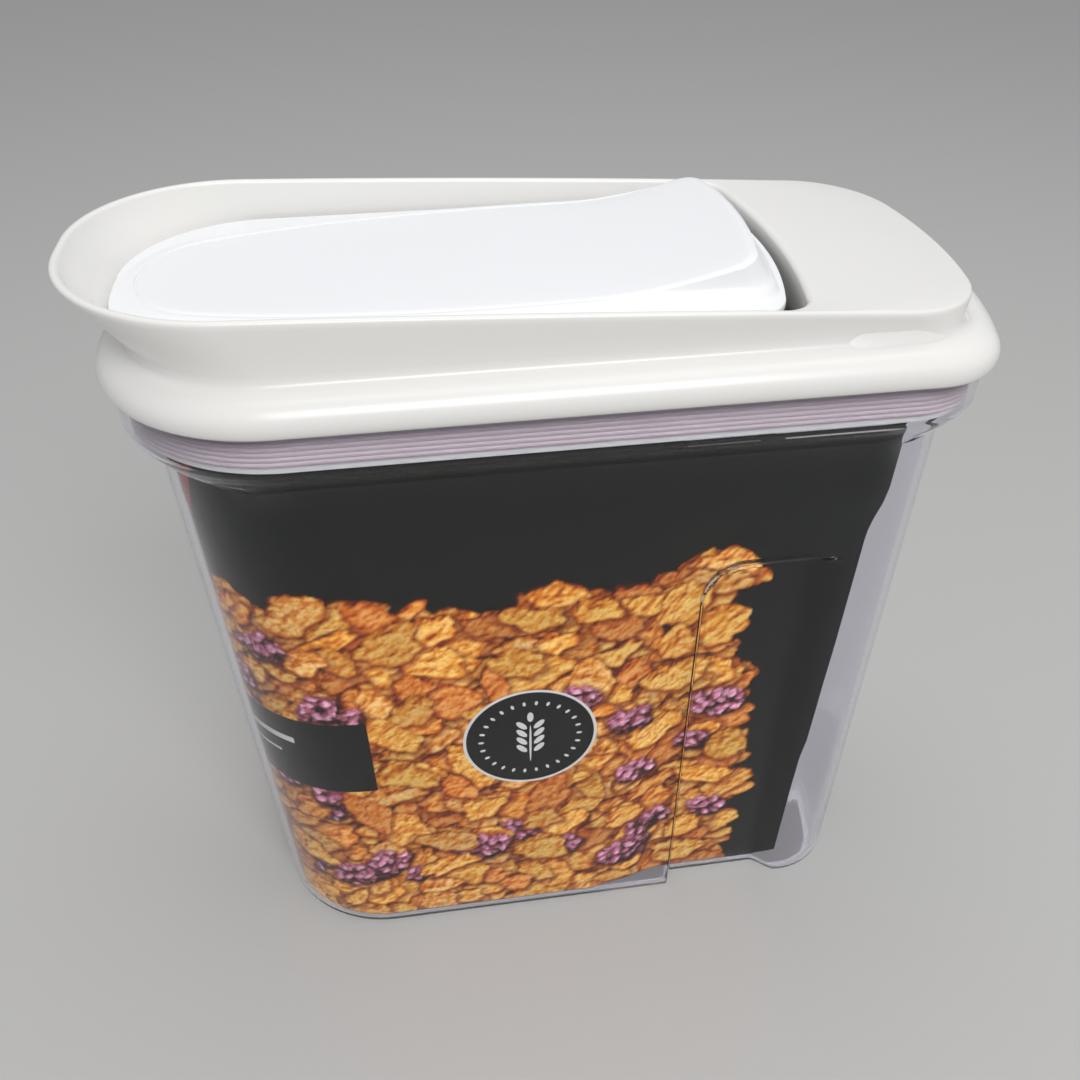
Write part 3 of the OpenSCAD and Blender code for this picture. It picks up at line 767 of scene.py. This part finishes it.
shell = {
    "skirtFront": -120, "skirtRear": 115.8, "skirtWidth": 106, "skirtCorner": 45.5,
    "skirtRearCorner": 22.5, "skirtLow": 209.8, "wall": 2.2, "rearBow": 0.0046,
    "rimHeight": 231.9, "rimFall": 0.053, "rimArch": 1.2, "rimFront": -125.33, "rimRear": 105.8,
    "rimHalf": 46.3, "rimBow": 0.0037, "rimCorner": 42, "rimRearCorner": 25, "rimLip": 1.05,
    "wellFront": -109, "wellRear": 59.4, "wellHalf": 41.7, "wellCorner": 36, "wellRearCorner": 9,
    "wellBow": 0.003, "wellLow": 217.2, "wellLip": 1.05, "wellRearLip": 1.7,
    "insideFront": -113.6, "insideRear": 101.4, "insideHalf": 45.2, "insideCorner": 38,
    "insideRearCorner": 21,
    "crestRise": 2.8, "bulge": 6.6, "cushionSide": 8.6, "cushionRear": 10.6,
    # inset and height of the skirt's rounded lower edge
    "hem": [(1.3, 0), (0.75, 0.25), (0.35, 0.9), (0.08, 1.8)],
    # front, side and rear inset and height above the crest, where the cushion meets the collar
    "collarFoot": [(7.0, 6.9, 9.0, 6.7), (7.6, 7.6, 10.0, 7.2), (7.8, 8.1, 10.8, 7.9),
                   (7.8, 8.3, 11.3, 8.9), (7.8, 8.3, 11.5, 9.8)],
}


def rimPlane(x):
    span = (shell["rimRear"] - shell["rimFront"]) / 2
    u = (x - shell["rimFront"]) / span - 1
    return shell["rimHeight"] - shell["rimFall"] * x + shell["rimArch"] * (1 - u * u)


def skirtRing(front, side, rear, z):
    return atHeight(outline(shell["skirtFront"] + front, shell["skirtRear"] - rear,
                            shell["skirtWidth"] / 2 - side, shell["skirtCorner"] - side,
                            shell["skirtRearCorner"] - side, lidSide, bow=shell["rearBow"]), z)


def rimRing(inset, drop):
    loop = outline(shell["rimFront"] + inset, shell["rimRear"] - inset, shell["rimHalf"] - inset,
                   shell["rimCorner"] - inset, shell["rimRearCorner"] - inset, lidSide,
                   bow=shell["rimBow"])
    return [(x, y, rimPlane(x) - drop) for x, y in loop]


def wellLoop(t, out=0.0):
    # t runs from 0 at the well's floor to 1 at the rim
    rimInside = shell["rimHalf"] - shell["wall"] - 0.1
    return outline(mix(shell["wellFront"], shell["rimFront"] + shell["wall"], t) - out,
                   shell["wellRear"] + out, mix(shell["wellHalf"], rimInside, t) + out,
                   mix(shell["wellCorner"], 40, t) + out, shell["wellRearCorner"] + out, lidSide,
                   bow=shell["wellBow"])


def wellRing(t, turn):
    # turn runs from 0, flat on the deck, to 90, upright; the lip is rounder at the rear
    a = math.radians(turn)
    ring = []
    for (x, y), (ox, oy) in zip(wellLoop(t), wellLoop(t, 1.0)):
        radius = mix(shell["wellLip"], shell["wellRearLip"], smooth((x - 38) / 14))
        out = radius * (1 - math.sin(a))
        px, py = mix(x, ox, out), mix(y, oy, out)
        ring.append((px, py, rimPlane(px) - radius * (1 - math.cos(a))))
    return ring


def underDeck(loop, low, share):
    return [(x, y, mix(low, rimPlane(x) - shell["wall"], share(x, y))) for x, y in loop]


def makeShell():
    low, wellLow = shell["skirtLow"], shell["wellLow"]
    crest, lip = low + shell["crestRise"], shell["rimLip"]
    rings = [skirtRing(inset, inset, inset, low + rise) for inset, rise in shell["hem"]]
    for degrees in range(0, 73, 8):
        a = math.radians(degrees)
        side, rear = (shell[key] * (1 - math.cos(a)) for key in ("cushionSide", "cushionRear"))
        rings.append(skirtRing(side, side, rear, crest + shell["bulge"] * math.sin(a)))
    rings += [skirtRing(front, side, rear, crest + rise)
              for front, side, rear, rise in shell["collarFoot"]]
    # the collar wall leans out to the rim
    foot, rim = rings[-1], rimRing(0.0, 1.4)
    for t in (0.35, 0.7, 0.94):
        rings.append([tuple(mix(a, b, t) for a, b in zip(p, q)) for p, q in zip(foot, rim)])
    for turn in (5, 30, 50, 70, 90):
        a = math.radians(turn)
        rings.append(rimRing(0.02 + lip * (1 - math.cos(a)), lip * (1 - math.sin(a))))
    for turn in (0, 18, 36, 54, 72, 90):
        rings.append(wellRing(1, turn))
    rings += [[(x, y, mix(rimPlane(x) - 2.8, wellLow, t)) for x, y in wellLoop(1 - t)]
              for t in (0.15, 0.4, 0.7)]
    rings += [atHeight(wellLoop(0), wellLow + 0.4), atHeight(wellLoop(0, 0.4), wellLow),
              atHeight(wellLoop(0, 1.8), wellLow)]
    rings.append(underDeck(wellLoop(0, 2.1), wellLow + 0.2,
                           lambda x, y: 0 if x < 30 else 1 - smooth((abs(y) - 34) / 7)))
    inner = outline(shell["insideFront"], shell["insideRear"], shell["insideHalf"],
                    shell["insideCorner"], shell["insideRearCorner"], lidSide, bow=shell["rimBow"])
    rings.append([(x, y * (1 - 0.05 * s), mix(wellLow - 0.2, rimPlane(x) - shell["wall"], s))
                  for x, y in inner for s in [smooth((x - shell["wellRear"] + 1) / 12)]])
    rings += [skirtRing(5.2, 5.2, 5.8, crest + 3.4), skirtRing(2.1, 2.1, 2.6, crest + 0.2),
              skirtRing(2, 2, 2, low)]
    return raiseWall("lidShell", rings, "ring")


finishPiece(makeShell(), "lid", "white_shell", [glossAbs], "lid_shell", angle=50)
print("lid shell made")


# the flap

flap = {
    "front": -114.2, "rear": 56.7, "half": 40.4, "corner": 36, "rearCorner": 12, "bow": 0.0045,
    "height": 227.3, "thick": 2.4, "crownLow": 228.4, "crownRise": 1.8,
    "tabStart": 4, "tabLength": 43.2, "tabTop": 238.6, "tabCurve": 1.9, "tabHalf": 33, "tabBow": 0.004,
    # the crown's edge on one side, from its front
    "crown": [(-110, 0), (-109.7, 3), (-109, 6), (-107.8, 10), (-106, 14), (-103.8, 17.2), (-101, 20),
              (-97, 22.6), (-92, 24.5), (-85.5, 26.4), (-78, 28), (-69, 29.7), (-60, 31), (-50, 32.2),
              (-38, 33.2), (-26, 33.8), (-12, 34), (3, 33.9), (17, 33.4), (29, 33)],
}


def alongCurve(points, t):
    # a Catmull-Rom curve through the points, t counted in points
    i = min(int(t), len(points) - 2)
    p = [points[int(clamp(j, 0, len(points) - 1))] for j in (i - 1, i, i + 1, i + 2)]
    f = t - i
    return tuple(0.5 * (2 * b + (c - a) * f + (2 * a - 5 * b + 4 * c - d) * f * f
                        + (3 * b - a - 3 * c + d) * f ** 3) for a, b, c, d in zip(*p))


def crownBase(x):
    return flap["crownLow"] + flap["crownRise"] * clamp((x + 109) / 117)


def crownTop(x):
    rise = flap["tabTop"] - flap["crownLow"] - flap["crownRise"]
    return crownBase(x) + rise * clamp((x - flap["tabStart"]) / flap["tabLength"]) ** flap["tabCurve"]


def crownLoop(inset, rear, corner=9.0, narrow=1.0):
    count = plan["arcSteps"] + len(lidSide) + 1
    half = []
    for i in range(count + 1):
        x, y = alongCurve(flap["crown"], i / count * (len(flap["crown"]) - 1))
        half.append((x + inset * mix(1, 0, clamp(y / 30)), min(0.0, clamp(y / 5) * inset - y)))
    y0 = corner + inset - flap["tabHalf"]
    for i in range(plan["arcSteps"] + 1):
        a = math.radians(270 + 78 * i / plan["arcSteps"])
        half.append((rear - flap["tabBow"] * y0 * y0 - corner + corner * math.cos(a),
                     y0 + corner * math.sin(a)))
    y0 = half[-1][1]
    for i in range(1, plan["endSteps"] + 1):
        y = y0 * (1 - i / plan["endSteps"])
        half.append((rear - flap["tabBow"] * y * y, y))
    half = [(x, y * narrow) for x, y in half]
    return half + [(x, -y) for x, y in half[-2:0:-1]]


def flapLoop(inset):
    return outline(flap["front"] + inset, flap["rear"] - inset, flap["half"] - inset,
                   flap["corner"] - inset, flap["rearCorner"] - inset, lidSide, bow=flap["bow"])


def onCrown(loop, lift, tab=0.0, drop=0.0):
    # lift goes from the flat rim to the low crown, tab from there to the top of the tab
    return [(x, y, mix(mix(flap["height"], crownBase(x), lift), crownTop(x), tab) - drop)
            for x, y in loop]


def makeFlap():
    top, low = flap["height"], flap["height"] - flap["thick"]
    rings = [atHeight(flapLoop(inset), z) for inset, z in (
        (0.5, low), (0.15, low + 0.15), (0, low + 0.5), (0, top - 0.7), (0.1, top - 0.3),
        (0.3, top - 0.1), (0.7, top))]
    # a soft slope from the flat rim to the crown, and a steeper flank around the tab
    rings += [onCrown(crownLoop(inset, rear, corner), lift) for inset, rear, corner, lift in (
        (-4.0, 54.8, 12, 0), (-3.2, 54.5, 11.6, 0.06), (-2.4, 54.2, 11.2, 0.22), (-1.6, 53.8, 10.7, 0.47),
        (-0.8, 53.4, 10.2, 0.73), (0, 52.9, 9.6, 0.92))]
    rings += [onCrown(crownLoop(inset, rear, corner), 1, tab, drop)
              for inset, rear, corner, tab, drop in (
        (0.5, 52.3, 9.0, 0.03, 0), (0.8, 51.5, 8.5, 0.12, 0), (1.0, 50.4, 8.0, 0.3, 0),
        (1.2, 49.0, 7.3, 0.6, 0), (1.35, 47.9, 6.8, 0.86, 0), (1.6, 47.2, 6.2, 1, 0.75),
        (2.0, 46.7, 6, 1, 0.32), (2.6, 46.1, 6, 1, 0.08), (3.4, 45.3, 6, 1, 0))]
    rings += [onCrown(crownLoop(3.4, 45.3, 6, narrow), 1, 1) for narrow in (0.82, 0.6, 0.36, 0.14)]
    return raiseWall("flapCover", rings, "across")


finishPiece(makeFlap(), "flap", "white_flap", [satinAbs], "flap_cover", angle=40)
print("flap made")


# the seals and the retainer

seal = {
    "plugFront": -112.5, "plugRear": 108.2, "plugHalf": 45.5, "plugCorner": 39, "rearCorner": 19.5,
    "low": 199.85, "height": 10.4, "fins": 7, "finThick": 1.2, "groove": 0.28, "play": 0.06,
    "ringLow": 197.6, "ringHeight": 2.2,
}


def plugRing(grow, z):
    return atHeight(outline(seal["plugFront"] - grow, seal["plugRear"] + grow, seal["plugHalf"] + grow,
                            seal["plugCorner"] + grow, seal["rearCorner"] + grow, lidSide,
                            bow=tub["rearBow"]), z)


def finRing(inset, z):
    # the fins press against the mouth's inner face
    return atHeight(mouthLoop(tub["wall"] + seal["play"] + inset, lidSide, True), z)


def makeGasket():
    low, thick, deep = seal["low"], seal["finThick"], seal["groove"]
    high = low + seal["height"]
    pitch = (seal["height"] - 0.8 - thick) / (seal["fins"] - 1)
    rings = [plugRing(0.1, low), plugRing(0.9, low), finRing(deep + 0.3, low + 0.1)]
    for i in range(seal["fins"]):
        z = low + 0.4 + i * pitch
        rings += [finRing(deep, z - 0.05), finRing(0.1, z + 0.12), finRing(0, z + 0.4),
                  finRing(0, z + thick - 0.4), finRing(0.1, z + thick - 0.12),
                  finRing(deep, z + thick + 0.05)]
    rings += [finRing(deep + 0.3, high - 0.1), plugRing(0.9, high), plugRing(0.1, high)]
    return raiseWall("rimGasket", rings, "ring")


def makeRetainer():
    low, high = seal["ringLow"], seal["ringLow"] + seal["ringHeight"]
    rings = [plugRing(0.1, low), plugRing(1.0, low), plugRing(1.35, low + 0.15),
             plugRing(1.5, low + 0.5), plugRing(1.5, high - 0.4), plugRing(1.4, high - 0.15),
             plugRing(1.1, high), plugRing(0.1, high)]
    return raiseWall("gasketRetainer", rings, "ring")


finishPiece(makeGasket(), "lid", "gasket_silicone", [sealSilicone], "rim_gasket", angle=60)
finishPiece(makeRetainer(), "lid", "white_plug", [innerAbs], "gasket_retainer")

pourSeal = {"front": -104, "rear": 2, "half": 30, "corner": 29, "low": 221.8, "high": 222.78}


def pourRing(grow, z):
    return atHeight(outline(pourSeal["front"] - grow, pourSeal["rear"] + grow, pourSeal["half"] + grow,
                            pourSeal["corner"] + grow, pourSeal["corner"] + grow, lidSide), z)


def makePourSeal():
    low, high = pourSeal["low"], pourSeal["high"]
    # a flat rubber ring with a soft bead underneath that presses on the pour lip
    return raiseWall("flapGasket", [
        pourRing(-1.15, high), pourRing(-1.15, low + 0.45), pourRing(-0.95, low + 0.3),
        pourRing(-0.3, low + 0.25), pourRing(0.2, low + 0.08), pourRing(0.7, low + 0.01),
        pourRing(1.2, low + 0.08), pourRing(1.7, low + 0.25), pourRing(2.35, low + 0.3),
        pourRing(2.55, low + 0.45), pourRing(2.55, high)], "ring")


finishPiece(makePourSeal(), "flap", "gasket_silicone", [flapSilicone], "flap_gasket", angle=60)
print("seals made")


# floor and light

stage = {
    "floorColour": "C4C3C1", "worldColour": "E6E7EA", "worldStrength": 0.55, "aim": (0, 0, 0.15),
    # name, place and size in metres, power in watts
    "lamps": [("overhead", (0.1, 0.15, 1.25), (0.9, 0.7), 3.2),
              ("frontKey", (0.12, -0.95, 1.2), (0.8, 0.6), 10)],
}


def makeStage():
    clearSelection()
    bpy.ops.mesh.primitive_plane_add(size=6, location=(0, 0, 0))
    floor = bpy.context.object
    floor.name = "floor"
    material, tree, shader = newMaterial("paleFloor", {
        "Base Color": hexColour(stage["floorColour"]), "Roughness": 0.75})
    floor.data.materials.append(material)
    world = bpy.data.worlds.new("studio")
    bpy.context.scene.world = world
    world.use_nodes = True
    world.node_tree.nodes["Background"].inputs["Color"].default_value = hexColour(stage["worldColour"])
    world.node_tree.nodes["Background"].inputs["Strength"].default_value = stage["worldStrength"]


def addSoftbox(name, place, size, power):
    data = bpy.data.lights.new(name, "AREA")
    data.shape = "RECTANGLE"
    data.size, data.size_y = size
    data.energy = power
    lamp = bpy.data.objects.new(name, data)
    bpy.context.scene.collection.objects.link(lamp)
    lamp.location = place
    lamp.rotation_euler = (Vector(stage["aim"]) - Vector(place)).to_track_quat("-Z", "Y").to_euler()


makeStage()
for lamp in stage["lamps"]:
    addSoftbox(*lamp)
bpy.context.scene.view_settings.view_transform = "Standard"
print("stage lit")

for nodeName, material in {"lid_plug": innerAbs, "flap_liner": innerAbs,
                           "hinge_pin": pinSteel}.items():
    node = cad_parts[nodeName]
    node.data.materials.clear()
    node.data.materials.append(material)
